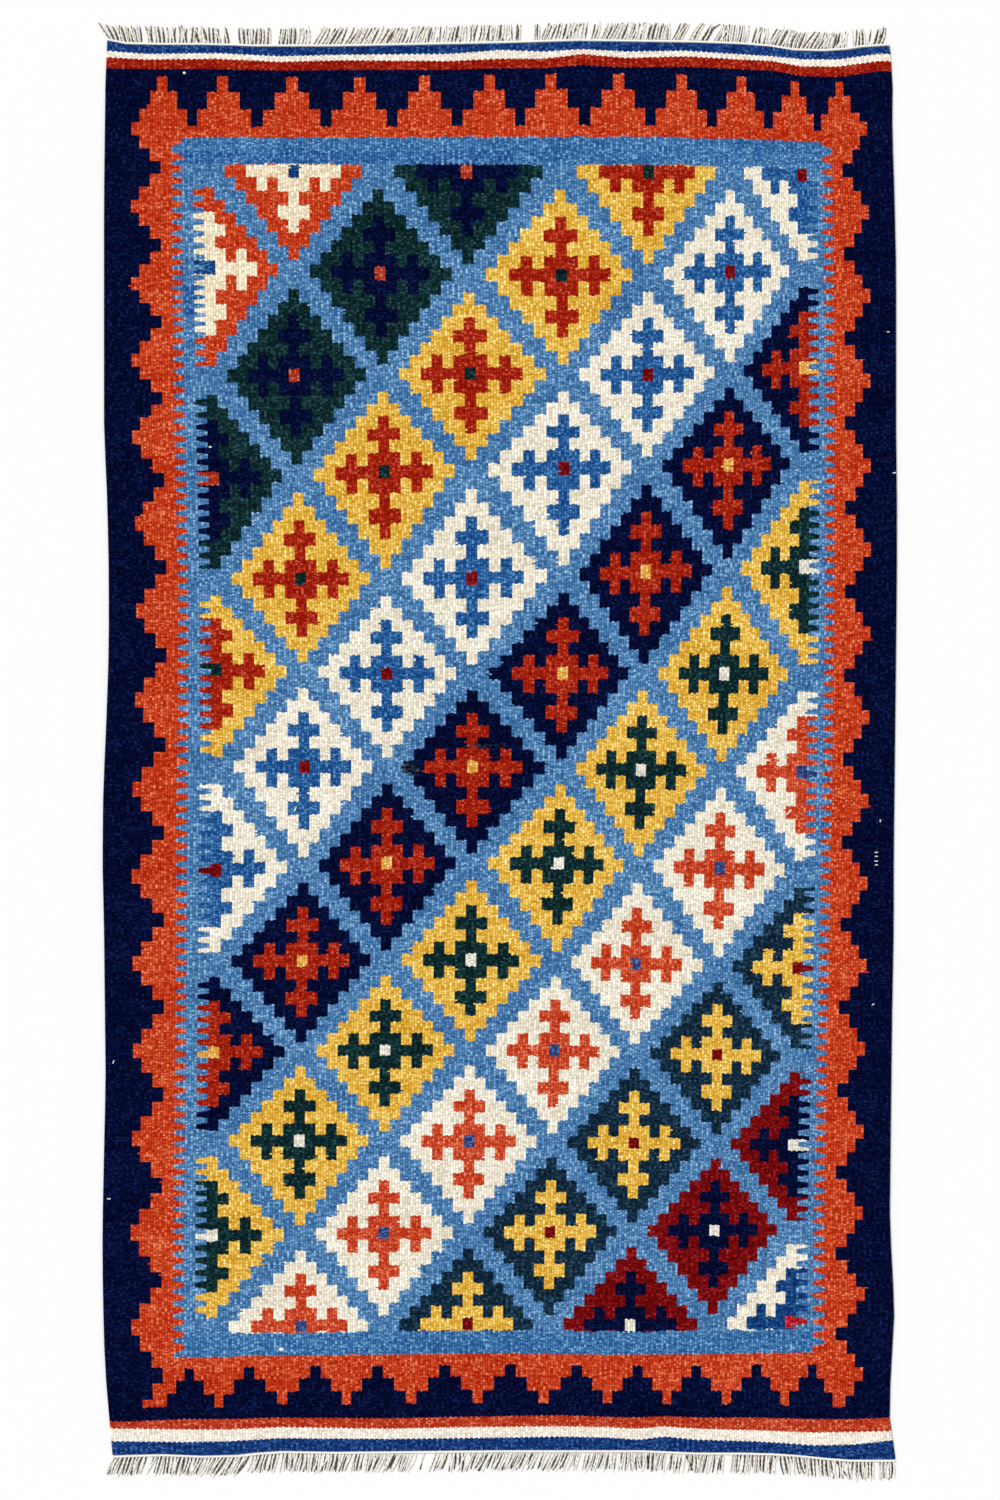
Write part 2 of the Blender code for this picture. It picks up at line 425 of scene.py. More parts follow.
def plug(tree, socket, value):
    """Gives a socket a link, a value or a colour as hex, or leaves it as it is for None."""
    if isinstance(value, bpy.types.NodeSocket):
        tree.links.new(value, socket)
    elif value is not None:
        socket.default_value = linear(value) if isinstance(value, str) else value


def add_node(tree, kind, *inputs, give=None, **settings):
    """Adds a shader node, such as "TexNoise", or "Math FLOOR" where the kind has an operation.

    Each input is a link, a value or None, in the order of the node's sockets."""
    kind, _, operation = kind.partition(" ")
    made = tree.nodes.new("ShaderNode" + kind)
    if operation:
        made.operation = operation
    for name, value in settings.items():
        setattr(made, name, value)
    for socket, value in zip([s for s in made.inputs if s.enabled], inputs):
        plug(tree, socket, value)
    return made.outputs[give] if give is not None else next(s for s in made.outputs if s.enabled)


def new_material(name):
    """An empty material and its way of adding nodes."""
    made = bpy.data.materials.new(name)
    made.use_nodes = True
    return made, partial(add_node, made.node_tree)


def surface(made, inputs):
    """Gives a material's shader its inputs, and the material back."""
    shader = made.node_tree.nodes["Principled BSDF"]
    for name, value in inputs.items():
        plug(made.node_tree, shader.inputs[name], value)
    return made


def apart(add, value, middle):
    """How far a value lies from another one, either way."""
    return add("Math ABSOLUTE", add("Math SUBTRACT", value, middle))


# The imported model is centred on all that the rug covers, and the tables on the photograph's middle.
low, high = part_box("flatweave")
TO_FRAME = (low + high) / 2 - rug_middle()
TO_FRAME.z = 0.0


# ---------------------------------------------------------------- the cloth

RIBS = round((WARP_RIGHT - WARP_LEFT) * RIBS_PER_BLOCK)
POINTS_PER_RIB = 3  # the valley and the two flanks of the crest
# The rows of points near an end, as distances from it, and how many even rows lie between the ends
END_ROWS = (0.0, 0.5 * MM, 1.1 * MM, 1.8 * MM, 9.0 * MM)
EVEN_ROWS = 40
MEAN_LENGTH = 1790.0 * MM


def row_shares():
    """Where the rows of points lie between the bottom end, 0, and the top end, 1."""
    near = [distance / MEAN_LENGTH for distance in END_ROWS]
    between = np.linspace(near[-1], 1 - near[-1], EVEN_ROWS + 2)[1:-1]
    return np.array([*near, *between, *[1 - share for share in near[::-1]]])


def across_at(warp, along):
    """Where a warp of the chart's number runs, in millimetres across, at places along the rug."""
    lines = [read(SELVEDGES, "left", "along", along)]
    for column in range(COLUMNS_OF_LOZENGES):
        lines.append(read(LOZENGE_COLUMNS, f"c{column}", "along", along))
    lines.append(read(SELVEDGES, "right", "along", along))
    numbers = [WARP_LEFT, *[BLOCKS_APART * column for column in range(COLUMNS_OF_LOZENGES)], WARP_RIGHT]
    across = np.zeros_like(warp)
    for left, right, low_number, high_number in zip(lines, lines[1:], numbers, numbers[1:]):
        share = (warp - low_number) / (high_number - low_number)
        found = (share >= 0) & (share <= 1)
        across = np.where(found, left + (right - left) * share, across)
    return across


def weft_at(warp, across, along):
    """The chart's number of the weft at places on the cloth: 0 in the top row of lozenges, then 8."""
    levels = [read(CLOTH_ENDS, "top", "across", across)]
    for row in LOZENGE_ROWS:
        heights = row[1:]
        first = BLOCKS_APART * ((row.row + 1) % 2)
        stands = [first + 2 * BLOCKS_APART * place for place in range(len(heights))]
        levels.append(straight_on(warp, stands, heights))
    levels.append(read(CLOTH_ENDS, "bottom", "across", across))
    numbers = [WEFT_TOP, *[BLOCKS_APART * row for row in range(ROWS_OF_LOZENGES)], WEFT_BOTTOM]
    weft = np.where(along > 0, WEFT_TOP, WEFT_BOTTOM)
    for upper, lower, low_number, high_number in zip(levels, levels[1:], numbers, numbers[1:]):
        share = (upper - along) / (upper - lower)
        found = (share >= 0) & (share <= 1)
        weft = np.where(found, low_number + share * (high_number - low_number), weft)
    return weft


def slack(x, y):
    """The broad low waves in which a flatweave lies on a floor, in metres, none at the two ends.

    They are 0.7 to 2.7 m long, here in radians per metre, and cross each other."""
    wave = np.sin(x * 7.1 + 1.3 * np.sin(y * 2.3)) * np.sin(y * 5.3 + 0.8)
    wave += 0.6 * np.sin(x * 3.1 - y * 8.7 + 2.0)
    fade = np.clip((SLACK_REACH - np.abs(y)) / SLACK_FADE, 0, 1)
    return RELAXED_LIFT * np.clip(0.45 + 0.4 * wave, 0, 1) * fade * fade * (3 - 2 * fade)


def points_of(mesh):
    """The places of a mesh's points, one per row."""
    spots = np.zeros(len(mesh.vertices) * 3)
    mesh.vertices.foreach_get("co", spots)
    return spots.reshape(-1, 3)


def weave_cloth():
    """The woven sheet: its warp ribs stand up on both faces, and its four edges are rounded."""
    shares = row_shares()
    columns = RIBS * POINTS_PER_RIB
    bpy.ops.object.select_all(action="DESELECT")
    bpy.ops.mesh.primitive_grid_add(x_subdivisions=columns, y_subdivisions=len(shares) - 1, size=1.0)
    cloth = bpy.context.active_object
    cloth.name = "kilim_cloth"
    mesh = cloth.data
    mesh.name = "kilim_cloth"
    spots = points_of(mesh)
    column = np.rint((spots[:, 0] + 0.5) * columns).astype(int)
    row = np.rint((spots[:, 1] + 0.5) * (len(shares) - 1)).astype(int)

    # The ribs run with the lozenges' columns, so each point's place across depends on that along.
    warp = WARP_LEFT + column / (RIBS_PER_BLOCK * POINTS_PER_RIB)
    share = shares[row]
    across = (column / columns - 0.5) * 2 * HALF_WIDTH / MM
    for _ in range(4):
        bottom = read(CLOTH_ENDS, "bottom", "across", across)
        top = read(CLOTH_ENDS, "top", "across", across)
        along = bottom + (top - bottom) * share
        across = across_at(warp, along)
    spots[:, 0] = across * MM + TO_FRAME.x
    spots[:, 1] = along * MM + TO_FRAME.y
    mesh.vertices.foreach_set("co", spots.ravel())

    # Half the cloth's thickness at each point: full on a rib's crest, less in a valley and at an edge
    from_side = np.minimum(column, columns - column) / POINTS_PER_RIB * RIB_WIDTH
    inward = np.minimum(from_side, np.minimum(share, 1 - share) * MEAN_LENGTH)
    rounded = np.sqrt(1 - (1 - np.clip(inward / EDGE_ROUND, 0, 1)) ** 2)
    half = CLOTH_THICK / 2 * np.maximum(rounded, EDGE_THIN)
    half -= RIB_DEPTH * (column % POINTS_PER_RIB == 0) * rounded

    numbers = {
        "warp": warp,
        "weft": weft_at(warp, across, along),
        "saw_left": read(SAW_LEFT, "number", "along", along),
        "saw_right": read(SAW_RIGHT, "number", "along", along),
        "comb_left": read(COMB_LEFT, "number", "along", along),
        "comb_right": read(COMB_RIGHT, "number", "along", along),
        "merlon_top": read(MERLONS_TOP, "number", "across", across),
        "merlon_bottom": read(MERLONS_BOTTOM, "number", "across", across),
        "half": half,
    }
    for dye in Bands._fields[1:]:
        past_top = along - read(BANDS_TOP, dye, "across", across)
        past_bottom = read(BANDS_BOTTOM, dye, "across", across) - along
        numbers["past_" + dye] = np.maximum(past_top, past_bottom)
    for name, values in numbers.items():
        mesh.attributes.new(name, "FLOAT", "POINT").data.foreach_set("value", values.astype(np.float32))

    solidify = cloth.modifiers.new("two faces", "SOLIDIFY")
    solidify.thickness = CLOTH_THICK
    solidify.offset = 1.0
    only(cloth)
    bpy.ops.object.modifier_apply(modifier=solidify.name)

    mesh = cloth.data
    spots = points_of(mesh)
    half = np.zeros(len(spots), np.float32)
    mesh.attributes["half"].data.foreach_get("value", half)
    mesh.attributes.remove(mesh.attributes["half"])
    upper = spots[:, 2] > CLOTH_THICK / 2
    spots[:, 2] = CLOTH_THICK / 2 + np.where(upper, half, -half) + slack(spots[:, 0], spots[:, 1])
    mesh.vertices.foreach_set("co", spots.ravel())
    mesh.update()
    bpy.ops.object.shade_smooth()
    lay_out(mesh, spots, upper)
    return cloth


def lay_out(mesh, spots, upper):
    """The cloth's flat map: the upper face with the rim round it, and the underside beside it."""
    while mesh.uv_layers:
        mesh.uv_layers.remove(mesh.uv_layers[0])
    layer = mesh.uv_layers.new(name="OFBake")
    corner_vertex = np.zeros(len(mesh.loops), np.int32)
    mesh.loops.foreach_get("vertex_index", corner_vertex)
    corners = len(mesh.loops) // len(mesh.polygons)  # every face is a quad
    face_uppers = upper[corner_vertex].reshape(-1, corners).sum(axis=1).repeat(corners)
    x, y = spots[corner_vertex, :2].T
    low_x, low_y = spots[:, 0].min(), spots[:, 1].min()
    wide, long = np.ptp(spots[:, 0]), np.ptp(spots[:, 1])
    # A rim's lower points are drawn as far outside the edge as the rim is high.
    rim = (face_uppers > 0) & (face_uppers < corners) & ~upper[corner_vertex]
    out = np.where(rim, 0.9 * MM, 0.0)
    at_side = np.abs(x - (low_x + wide / 2)) / wide > np.abs(y - (low_y + long / 2)) / long
    x = x + out * at_side * np.sign(x)
    y = y + out * ~at_side * np.sign(y)
    margin = 0.006
    scale = (1 - 2 * margin) / (long + 2 * MM)
    small = (1 - 3 * margin - scale * (wide + 2 * MM)) / wide
    under = face_uppers == 0
    u = np.where(under, margin + (y - low_y) * small, margin + (y - low_y + MM) * scale)
    v_under = 1 - margin - (x - low_x) * small
    v = np.where(under, v_under, margin + (low_x + wide + MM - x) * scale)
    layer.uv.foreach_set("vector", np.stack([u, v], axis=1).astype(np.float32).ravel())


# ---------------------------------------------------------------- the wool


def chart_numbers(add):
    """Each bead of wool: its rib and pick, 0.5 on an odd rib or -0.5 on an even one, and its place in
    the chart.

    Each bead is one dye all over. The picks of neighbouring ribs lie half a bead apart, and where two
    dyes meet, some picks turn back one rib sooner or later, so that no join is ruled."""
    warp = add("Attribute", attribute_name="warp", give="Fac")
    weft = add("Attribute", attribute_name="weft", give="Fac")
    ribs = add("Math MULTIPLY", warp, RIBS_PER_BLOCK)
    rib = add("Math FLOOR", ribs)
    odd = add("Math FLOORED_MODULO", rib, 2.0)
    half_bead = add("Math MULTIPLY", odd, 0.5)
    picks = add("Math MULTIPLY_ADD", weft, BEADS_PER_STEP, half_bead)
    pick = add("Math FLOOR", picks)
    bead = add("CombineXYZ", rib, pick, 0.0)

    def play(ribs_alike, row, number):
        """From -0.5 to 0.5, alike for some ribs of a row. The number tells one play from the other."""
        run = add("Math FLOOR", add("Math DIVIDE", rib, ribs_alike))
        noise = add("TexWhiteNoise", add("CombineXYZ", run, row, number), noise_dimensions="3D")
        return add("Math SUBTRACT", noise, 0.5)

    # The middle of the bead, in steps, and of the rib, in blocks
    middle = add("Math ADD", add("Math SUBTRACT", pick, half_bead), 0.5)
    middle = add("Math DIVIDE", middle, BEADS_PER_STEP)
    uneven = play(RIBS_OF_A_STEP, add("Math ROUND", middle), 3.0)
    weft_there = add("Math MULTIPLY_ADD", uneven, STEP_PLAY, middle)
    turn = add("Math MULTIPLY", play(RIBS_OF_A_TURN, pick, 7.0), TURN_PLAY)
    turned = add("Math ADD", add("Math ADD", rib, add("Math ROUND", turn)), 0.5)
    warp_there = add("Math DIVIDE", turned, RIBS_PER_BLOCK)
    return ribs, picks, bead, add("Math SUBTRACT", odd, 0.5), warp_there, weft_there


def dovetail(add, warp):
    """How far into the blue each place of the side combs is: 0 on a madder tooth, 1 between two."""
    left = add("Attribute", attribute_name="comb_left", give="Fac")
    right = add("Attribute", attribute_name="comb_right", give="Fac")
    at_right = add("Math GREATER_THAN", warp, WARP_MIDDLE)
    number = add("Mix", at_right, left, right, data_type="FLOAT")
    number = add("Clamp", number, FIRST_COMB_TOOTH, LAST_COMB_TOOTH)
    return add("Math MULTIPLY", add("Math PINGPONG", number, 0.5), 2.0)


def distances(add, warp, weft):
    """How far each place lies from the middle of its lozenge, in blocks across and in steps along."""
    aside = add("Math PINGPONG", warp, BLOCKS_APART)
    away = add("Math SUBTRACT", BLOCKS_APART, add("Math PINGPONG", weft, BLOCKS_APART))
    # Past the line between two lozenges, both distances are counted from the next one.
    next_one = add("Math GREATER_THAN", add("Math ADD", aside, away), BLOCKS_APART)
    shift = add("Math MULTIPLY", next_one, BLOCKS_APART)
    aside, away = apart(add, aside, shift), apart(add, away, shift)

    # The steps below a middle are a little higher than those above it.
    cycle = add("Math DIVIDE", add("Math SUBTRACT", weft, BLOCKS_APART), 2 * BLOCKS_APART)
    first_half = add("Math LESS_THAN", add("Math FRACT", cycle), 0.5)
    below = apart(add, first_half, next_one)
    height = add("Math MULTIPLY_ADD", below, STEP_DOWN - STEP_UP, STEP_UP)
    outer = add("Math DIVIDE", add("Math SUBTRACT", away, MIDDLE_STEP), height)
    outer = add("Math ADD", outer, 1.0)
    step = add("Math DIVIDE", away, MIDDLE_STEP)
    return aside, add("Math MINIMUM", step, outer)


def lozenges(add, warp, weft, between):
    """The stepped lozenges: where they are, and the colour of each one's ground, cross and heart."""
    kept = add("Clamp", warp, -CHART_READ, 2 * WARP_MIDDLE + CHART_READ)
    aside, step = distances(add, kept, weft)
    up, aside = add("Math FLOOR", step), add("Math ROUND", aside)
    least, most = add("Math MINIMUM", aside, up), add("Math MAXIMUM", aside, up)
    in_reach = add("Math LESS_THAN", most, STEM_REACH + 0.5)
    stem = add("Math MULTIPLY", add("Math LESS_THAN", least, 0.5), in_reach)
    hooks = [add("Math COMPARE", most, hook, 0.5) for hook in HOOKS]
    beside = add("Math COMPARE", least, 1.0, 0.5)
    hooks = add("Math MULTIPLY", add("Math ADD", *hooks), beside)
    cross = add("Math MAXIMUM", stem, hooks)
    heart = add("Math LESS_THAN", most, 0.5)

    inside = add("Math LESS_THAN", add("Math ADD", aside, up), STEPS_TO_TIP - 0.5)
    in_rows = add("Math COMPARE", weft, WEFT_MIDDLE, WEFT_MIDDLE + PAST_ROW)
    inside = add("Math MULTIPLY", inside, in_rows)
    # At the two sides the half lozenges end in the comb's teeth, but for the top row.
    top_row = add("Math LESS_THAN", weft, 0.5)
    blue = add("Math MAXIMUM", between, top_row)
    far, near = WARP_MIDDLE + PAST_COLUMN_MADDER, WARP_MIDDLE + PAST_COLUMN_BLUE
    reach = add("MapRange", blue, *LOZENGE_SLANT, far, near)
    side = add("Math COMPARE", warp, WARP_MIDDLE, reach)
    inside = add("Math MULTIPLY", inside, side)

    # The colourways follow each other along the diagonal.
    diagonal = add("Math SUBTRACT", add("Math ADD", kept, weft), BLOCKS_APART)
    diagonal = add("Math ROUND", add("Math DIVIDE", diagonal, 2 * BLOCKS_APART))
    place = add("Math DIVIDE", add("Math ADD", diagonal, 0.5), len(COLOURWAYS))
    dyes = []
    for part in Colourway._fields:
        ramp_colour = add("ValToRGB", place)
        ramp = ramp_colour.node.color_ramp
        ramp.interpolation = "CONSTANT"
        for number, way in enumerate(COLOURWAYS):
            stop = ramp.elements[0] if number == 0 else ramp.elements.new(number / len(COLOURWAYS))
            stop.position = number / len(COLOURWAYS)
            stop.color = linear(getattr(way, part))
        ramp.elements.remove(ramp.elements[-1])
        dyes.append(ramp_colour)
    colour = add("Mix", cross, dyes[0], dyes[1], data_type="RGBA")
    return inside, add("Mix", heart, colour, dyes[2], data_type="RGBA")


def border(add, warp, weft):
    """Where the madder border is: stepped teeth at the two sides, and merlons at the two ends."""
    tests = []
    for saw in SAWS:
        number = add("Attribute", attribute_name=saw.name, give="Fac")
        steps = add("Math MULTIPLY", number, 2.0 * SAW_STEPS)
        steps = add("Math ROUND", add("Math PINGPONG", steps, SAW_STEPS))
        edge = add("Math MULTIPLY_ADD", steps, saw.step, saw.tip)
        tests.append(add("Math " + saw.side, warp, edge))
    for end in MERLON_STEPS:
        number = add("Attribute", attribute_name=end.name, give="Fac")
        aside = add("Math MULTIPLY", add("Math PINGPONG", number, 0.5), 2.0)
        edge = end.peak
        for share, fall in zip(end.shares, end.falls):
            fallen = add("Math GREATER_THAN", aside, share)
            edge = add("Math MULTIPLY_ADD", fallen, fall, edge)
        tests.append(add("Math " + end.side, weft, edge))
    return reduce(partial(add, "Math MULTIPLY"), tests)


def open_field(add, warp, weft, between):
    """Where the blue field is: a plain rectangle whose two sides are combs of pointed teeth."""
    left = add("MapRange", between, *FIELD_SLANT, *FIELD_LEFT)
    right = add("MapRange", between, *FIELD_SLANT, *FIELD_RIGHT)
    past_left = add("Math GREATER_THAN", warp, left)
    before_right = add("Math LESS_THAN", warp, right)
    found = add("Math MULTIPLY", past_left, before_right)
    middle, reach = (FIELD_TOP + FIELD_BOTTOM) / 2, (FIELD_BOTTOM - FIELD_TOP) / 2
    in_rows = add("Math COMPARE", weft, middle, reach)
    return add("Math MULTIPLY", found, in_rows)


def mended(add, mends):
    """Where the stitches of a table are: 1 on them."""
    place = add("TexCoord", give="Object")
    nearest = 9.0  # further than any stitch reaches
    for mend in mends:
        middle = (mend.across * MM + TO_FRAME.x, mend.along * MM + TO_FRAME.y, 0.0)
        turn = (0.0, 0.0, math.radians(mend.turn))
        reach = (mend.long * MM / 2, mend.wide * MM / 2, 1.0)
        here = add("Mapping", place, middle, turn, reach, vector_type="TEXTURE")
        here = add("VectorMath LENGTH", here, give="Value")
        nearest = add("Math MINIMUM", nearest, here)
    return add("Math LESS_THAN", nearest, 1.0)


def charted_dyes(add, bead, odd, warp, weft):
    """The dye that the chart asks for at each bead."""
    between = dovetail(add, warp)
    inside, lozenge = lozenges(add, warp, weft, between)
    # The field was woven with a deeper bath of the same blue at its two ends.
    deep = apart(add, weft, WEFT_MIDDLE)
    deep = add("MapRange", deep, WEFT_MIDDLE + 0.3, WEFT_MIDDLE + 0.9, 0.0, 1.0)
    sky = add("Mix", deep, SKY, SKY_DEEP, data_type="RGBA")
    for patch in PATCHES:
        across = add("Math COMPARE", warp, patch.warp, patch.wide / 2)
        along = add("Math COMPARE", weft, patch.weft, patch.high / 2)
        there = add("Math MULTIPLY", across, along)
        sky = add("Mix", there, sky, SKY_DARK, data_type="RGBA")
    madder = border(add, warp, weft)
    colour = add("Mix", madder, NAVY, MADDER, data_type="RGBA")
    colour = add("Mix", open_field(add, warp, weft, between), colour, sky, data_type="RGBA")
    colour = add("Mix", inside, colour, lozenge, data_type="RGBA")

    # Both ends finish with a band of dull madder, a narrow one of cream and one of blue. The picks of
    # every second rib reach half a bead further.
    at_top = add("Math LESS_THAN", weft, WEFT_MIDDLE)
    dull = add("Mix", at_top, MADDER_PALE, MADDER_DULL, data_type="RGBA")
    for name, dye in (("madder", dull), ("cream", CREAM_BAND), ("blue", BORDER_BLUE)):
        past = add("Attribute", attribute_name="past_" + name, give="Fac")
        past = add("Math MULTIPLY_ADD", odd, BEAD_HEIGHT / 2, past)
        past = add("Math GREATER_THAN", past, 0.0)
        colour = add("Mix", past, colour, dye, data_type="RGBA")

    # Darned places are worked in charcoal wool, of which every other stitch shows. Slubs are undyed.
    stitch = add("TexWhiteNoise", bead, noise_dimensions="2D")
    stitch = add("Math GREATER_THAN", stitch, 0.45)
    darned = add("Math MULTIPLY", mended(add, DARK_MENDS), stitch)
    colour = add("Mix", darned, colour, CHARCOAL, data_type="RGBA")
    return add("Mix", mended(add, PALE_MENDS), colour, KNOT_PALE, data_type="RGBA")


# How fast the dye changes, from rib to rib and from pick to pick: within the runs of one pick, between
# the baths that the yarn was dyed in, and between the wefts of the two ways
Change = namedtuple("Change", "per_rib per_pick detail roughness")
CHANGES = (
    Change(0.11, 0.83, 2.0, 0.60),
    Change(0.006, 0.016, 3.0, 0.55),
    Change(0.012, 0.06, 1.0, 0.50),
)
# How much each of them and each bead's own shade counts, and the most that they make together
BEAD_SHADE, RUN_SHADE, BATH_SHADE, WAY_SHADE, MOST_SHADE = 3.0, 3.6, 1.6, 1.3, 2.5
DARK_TO_PALE = (0.3, 0.9)  # how light the darkest and the palest dyes are


def uneven_dye(add, bead, odd, colour, lightness):
    """Each bead has its own shade, each pick runs of lighter or darker wool, and the yarn was dyed in
    more than one bath, which shows as broad bands."""
    noises = []
    for change in CHANGES:
        place = (change.per_rib, change.per_pick, 0.0)
        place = add("VectorMath MULTIPLY", bead, place)
        noises.append(add("TexNoise", place, None, 1.0, change.detail, change.roughness))
    run, bath, differ = noises

    # A few beads are much paler, and stand out most in the dark dyes.
    own = add("TexWhiteNoise", bead, noise_dimensions="3D")
    pale_here = add("MapRange", lightness, *DARK_TO_PALE, 1.5, 0.0)
    pale = add("Math MULTIPLY", add("Math POWER", own, 9.0), pale_here)
    own = add("Math SUBTRACT", own, 0.56)
    shade = add("Math MULTIPLY_ADD", own, BEAD_SHADE, pale)
    for noise, counts in ((run, RUN_SHADE), (bath, BATH_SHADE)):
        noise = add("Math SUBTRACT", noise, 0.5)
        shade = add("Math MULTIPLY_ADD", noise, counts, shade)
    # Odd ribs show the picks of one way, even ribs those of the way back. Where the two wefts differ a
    # little, every second rib is paler.
    differ = add("MapRange", differ, 0.40, 0.60, -WAY_SHADE, WAY_SHADE)
    shade = add("Math MULTIPLY_ADD", odd, differ, shade)
    shade = add("Clamp", shade, -MOST_SHADE, MOST_SHADE)
    # Pale dyes show this more than dark ones.
    shown = add("Math MULTIPLY_ADD", lightness, 0.65, 0.31)
    shade = add("Math MULTIPLY", shade, shown)
    colour = add("Gamma", colour, add("Math MULTIPLY_ADD", shade, -0.31, 1.0))
    brighter = add("Math MULTIPLY_ADD", shade, 0.12, 1.0)
    return add("HueSaturation", 0.5, 1.0, brighter, 1.0, colour)


def light_between_beads(add, ribs, picks, colour, lightness):
    """Less light reaches down between two ribs or two picks, though pale wool passes some on."""
    valley = apart(add, add("Math FRACT", ribs), 0.5)
    valley = add("Math MULTIPLY", valley, 2.0)
    crest = add("MapRange", lightness, *DARK_TO_PALE, 1.12, 1.06)
    shaded = add("MapRange", lightness, *DARK_TO_PALE, 0.62, 0.80)
    valley = add("MapRange", valley, 0.40, 1.0, crest, shaded)
    colour = add("HueSaturation", 0.5, 1.0, valley, 1.0, colour)

    off_middle = apart(add, add("Math FRACT", picks), 0.5)
    crease = add("MapRange", off_middle, 0.28, 0.5, 1.03, 0.84)
    colour = add("HueSaturation", 0.5, 1.0, crease, 1.0, colour)
    # The bead's height, from 0 in the creases to 1 in its middle
    bead_height = add("Math MULTIPLY", off_middle, off_middle)
    return colour, add("Math MULTIPLY_ADD", bead_height, -4.0, 1.0)


def weft_faced_wool():
    """Hand-spun wool weft, packed down hard over the warp, so that only the weft shows: matt beads in
    upright ribs, each pick dyed a little unevenly. The wool has no shine but a faint halo of fibres."""
    made, add = new_material("weft-faced dyed wool")
    ribs, picks, bead, odd, warp, weft = chart_numbers(add)
    colour = charted_dyes(add, bead, odd, warp, weft)
    lightness = add("Math POWER", add("RGBToBW", colour), 0.5)
    colour = uneven_dye(add, bead, odd, colour, lightness)
    colour, bead_height = light_between_beads(add, ribs, picks, colour, lightness)

    # Loose fibres cross the beads aslant, about 0.4 mm apart.
    slant = (0.0, 0.0, math.radians(25))
    place = add("Mapping", add("TexCoord", give="Object"), None, slant, (1.0, 0.35, 1.0))
    fibres = add("TexNoise", place, None, 2600.0, 3.0, 0.7)
    lit = add("MapRange", fibres, 0.3, 0.7, 0.86, 1.14)
    colour = add("HueSaturation", 0.5, 1.0, lit, 1.0, colour)
    height = add("Math MULTIPLY_ADD", fibres, 0.5, bead_height)
    bump = add("Bump", 0.6, 0.35 * MM, None, height)

    sheen = {"Sheen Weight": 0.01, "Sheen Roughness": 0.6}
    matt = {"Roughness": 0.92, "Specular IOR Level": 0.02}
    return surface(made, {"Base Color": colour, "Normal": bump, **matt, **sheen})


# ---------------------------------------------------------------- the end cords and fringes


def yarn_piece(name, runs, radius):
    """Round yarns in one piece. Each run is one ply's points, with the share of the radius there."""
    line = bpy.data.curves.new(name, "CURVE")
    line.dimensions = "3D"
    line.bevel_depth = radius
    line.bevel_resolution = 0
    line.use_fill_caps = True
    for run in runs:
        ply = line.splines.new("POLY")
        ply.points.add(len(run) - 1)
        for point, (place, thick) in zip(ply.points, run):
            point.co = (*place, 1.0)
            point.radius = thick
    made = bpy.data.objects.new(name, line)
    bpy.context.scene.collection.objects.link(made)
    only(made)
    bpy.ops.object.convert(target="MESH")
    made = bpy.context.active_object
    made.name = made.data.name = name
    bpy.ops.object.shade_smooth()
    return made


def end_line(end, share):
    """A point of one end of the cloth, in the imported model's frame."""
    x, y = end_point(end, share)
    return Vector((float(x), float(y), 0.0)) + TO_FRAME


def twined_cord(kind):
    """The two plies that cross between every pair of warps and hold the last weft."""
    turns = round(2 * HALF_WIDTH / CORD_PITCH)
    count = turns * CORD_POINTS_PER_TURN
    plies = ([], [])
    for number in range(count + 1):
        middle = end_line(kind.end, number / count)
        middle.y += kind.way * (CORD_GAP + CORD_WIDTH / 2)
        middle.z = CORD_MIDDLE
        for ply, run in enumerate(plies):
            angle = 2 * math.pi * number / CORD_POINTS_PER_TURN + ply * math.pi
            aside = Vector((0.0, math.cos(angle), math.sin(angle))) * CORD_PLY_OFFSET
            run.append((middle + aside, 1.0))
    return yarn_piece(kind.node.replace("fringe", "end_cord"), plies, CORD_PLY_RADIUS)


def warp_end(play, yarn, root, tip, bow):
    """One warp end: two plies round each other, from the cord to the floor, thinner at the tip."""
    way = (tip - root).normalized()
    side = Vector((-way.y, way.x, 0.0))
    phase = play.uniform(0, 2 * math.pi)
    length = (tip - root).length
    lift = play.uniform(0.0, LIFT_PLAY)
    plies = ([], [])
    for number in range(YARN_POINTS):
        share = number / (YARN_POINTS - 1)
        middle = root.lerp(tip, share) + side * (bow * math.sin(math.pi * share))
        middle.z = (yarn.height + lift * math.sin(math.pi * share)) * min(0.65 + 2.0 * share, 1.0)
        # It comes out from under the cord, and swells to its own thickness there.
        thick = min(0.50 + 2.5 * share, 1.0) - 0.45 * share**4
        for ply, run in enumerate(plies):
            angle = phase + 2 * math.pi * share * length / PLY_PITCH + ply * math.pi
            offset = yarn.offset * thick
            place = middle + side * (math.cos(angle) * offset)
            place.z += math.sin(angle) * offset
            place.z = max(place.z, yarn.radius * thick)
            run.append((place, thick))
    return list(plies)


